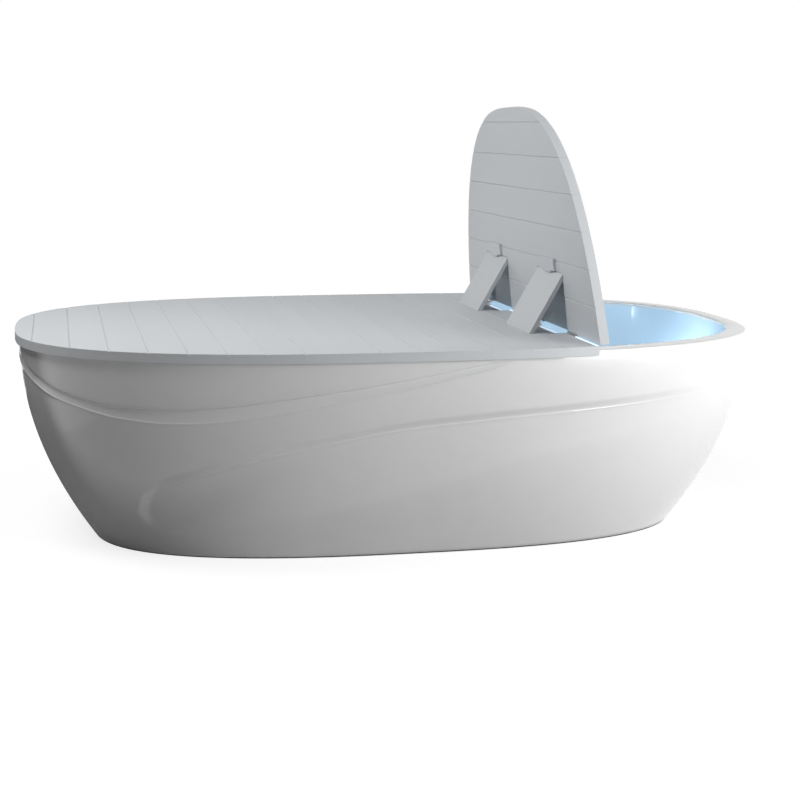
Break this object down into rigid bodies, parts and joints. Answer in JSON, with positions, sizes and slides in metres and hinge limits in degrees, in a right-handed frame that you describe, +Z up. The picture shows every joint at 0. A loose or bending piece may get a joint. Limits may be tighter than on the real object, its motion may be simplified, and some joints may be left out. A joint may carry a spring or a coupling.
{
  "type": "flotation tank",
  "caption": "Oval flotation tub with a glossy shell, a slatted flat cover and a hinged head panel held open by flat prop stays.",
  "frame": {"origin": "on the floor under the middle of the tank", "axes": "+X to the head end with the folding panel, -Y to the front, +Z up"},
  "size_m": [2.3015, 1.37, 1.3089],
  "materials": {
    "gelcoat": "high gloss white gelcoat",
    "liner_gelcoat": "gloss white, lit pale blue",
    "painted_board": "matt pale grey paint",
    "batten_timber": "matt pale grey paint",
    "foam": "closed-cell foam",
    "heating_foil": "silicone heating mat",
    "painted_steel": "powder coat",
    "sheet_steel": "galvanised sheet",
    "foot_rubber": "moulded rubber pad",
    "pump_plastic": "glass-filled plastic",
    "motor_paint": "enamel",
    "canister_plastic": "moulded plastic",
    "pipe_pvc": "white PVC",
    "fitting_plastic": "white ABS",
    "plug_rubber": "white rubber",
    "handle_plastic": "red plastic",
    "bezel_steel": "polished stainless",
    "light_lens": "frosted lens",
    "button_plastic": "white ABS",
    "box_plastic": "grey enclosure",
    "gland_plastic": "black nylon",
    "filter_media": "pleated polyester",
    "circuit_board": "fibreglass circuit board",
    "screw_steel": "stainless",
    "hinge_steel": "pale grey paint over stainless"
  },
  "bodies": {
    "tub": {"outer_shell": "gelcoat", "liner": "liner_gelcoat", "insulation": "foam", "heating_mat": "heating_foil", "frame_beams": "painted_steel", "frame_legs": "painted_steel", "levelling_feet": "foot_rubber", "equipment_tray": "sheet_steel", "pump_housing": "pump_plastic", "pump_motor": "motor_paint", "filter_canister": "canister_plastic", "filter_cartridge": "filter_media", "water_pipes": "pipe_pvc", "floor_fittings": "fitting_plastic", "fitting_grilles": "fitting_plastic", "drain_fitting": "fitting_plastic", "drain_valve": "pipe_pvc", "light_bezels": "bezel_steel", "light_lenses": "light_lens", "button_bezels": "bezel_steel", "control_box": "box_plastic", "control_board": "circuit_board", "power_gland": "gland_plastic"},
    "cover": {"cover_slat_01": "painted_board", "cover_slat_02": "painted_board", "cover_slat_03": "painted_board", "cover_slat_04": "painted_board", "cover_slat_05": "painted_board", "cover_slat_06": "painted_board", "cover_slat_07": "painted_board", "cover_slat_08": "painted_board", "cover_slat_09": "painted_board", "cover_slat_10": "painted_board", "cover_slat_11": "painted_board", "cover_slat_12": "painted_board", "cover_slat_13": "painted_board", "cover_slat_14": "painted_board", "cover_slat_15": "painted_board", "cover_slat_16": "painted_board", "cover_battens": "batten_timber", "cover_screws": "screw_steel", "cover_hinge_leaves": "hinge_steel"},
    "head_panel": {"panel_slat_01": "painted_board", "panel_slat_02": "painted_board", "panel_slat_03": "painted_board", "panel_slat_04": "painted_board", "panel_slat_05": "painted_board", "panel_slat_06": "painted_board", "panel_slat_07": "painted_board", "panel_battens": "batten_timber", "panel_screws": "screw_steel", "panel_hinge_leaves": "hinge_steel", "stay_hinge_blocks": "painted_board"},
    "front_stay": {"prop_stay_front": "painted_board"},
    "back_stay": {"prop_stay_back": "painted_board"},
    "plug": {"drain_plug": "plug_rubber"},
    "handle": {"valve_handle": "handle_plastic"},
    "light_button_cap": {"light_button": "button_plastic"},
    "pump_button_cap": {"pump_button": "button_plastic"},
    "rotor": {"pump_rotor": "pump_plastic"}
  },
  "joints": [
    {"name": "cover_lift", "type": "slide", "parent": "tub", "child": "cover", "axis": [0, 0, 1], "range_m": [0, 0.35]},
    {"name": "panel_fold", "type": "hinge", "parent": "cover", "child": "head_panel", "pos_m": [0.476, 0, 0.63], "axis": [0, 1, 0], "range_deg": [0, 96.3]},
    {"name": "front_stay_fold", "type": "hinge", "parent": "head_panel", "child": "front_stay", "pos_m": [0.46276, -0.273, 0.8046], "axis": [0, 1, 0], "range_deg": [-36.1, 0]},
    {"name": "back_stay_fold", "type": "hinge", "parent": "head_panel", "child": "back_stay", "pos_m": [0.46276, 0.273, 0.8046], "axis": [0, 1, 0], "range_deg": [-36.1, 0]},
    {"name": "plug_lift", "type": "slide", "parent": "tub", "child": "plug", "axis": [0, 0, 1], "range_m": [0, 0.06]},
    {"name": "valve_turn", "type": "hinge", "parent": "tub", "child": "handle", "pos_m": [-0.79, 0.276, 0.1], "axis": [0, 0, 1], "range_deg": [0, 90]},
    {"name": "light_button_press", "type": "slide", "parent": "tub", "child": "light_button_cap", "axis": [0, 0.9937, -0.1118], "range_m": [0, 0.003], "stiffness_N_per_m": 500, "springref_m": -0.001},
    {"name": "pump_button_press", "type": "slide", "parent": "tub", "child": "pump_button_cap", "axis": [0, 0.9937, -0.1118], "range_m": [0, 0.003], "stiffness_N_per_m": 500, "springref_m": -0.001},
    {"name": "rotor_spin", "type": "hinge", "parent": "tub", "child": "rotor", "pos_m": [-0.44, -0.13, 0.085], "axis": [1, 0, 0], "continuous": true}
  ],
  "couplings": [
    {"joint": "front_stay_fold", "follows": "panel_fold", "ratio": -0.37383},
    {"joint": "back_stay_fold", "follows": "panel_fold", "ratio": -0.37383}
  ]
}
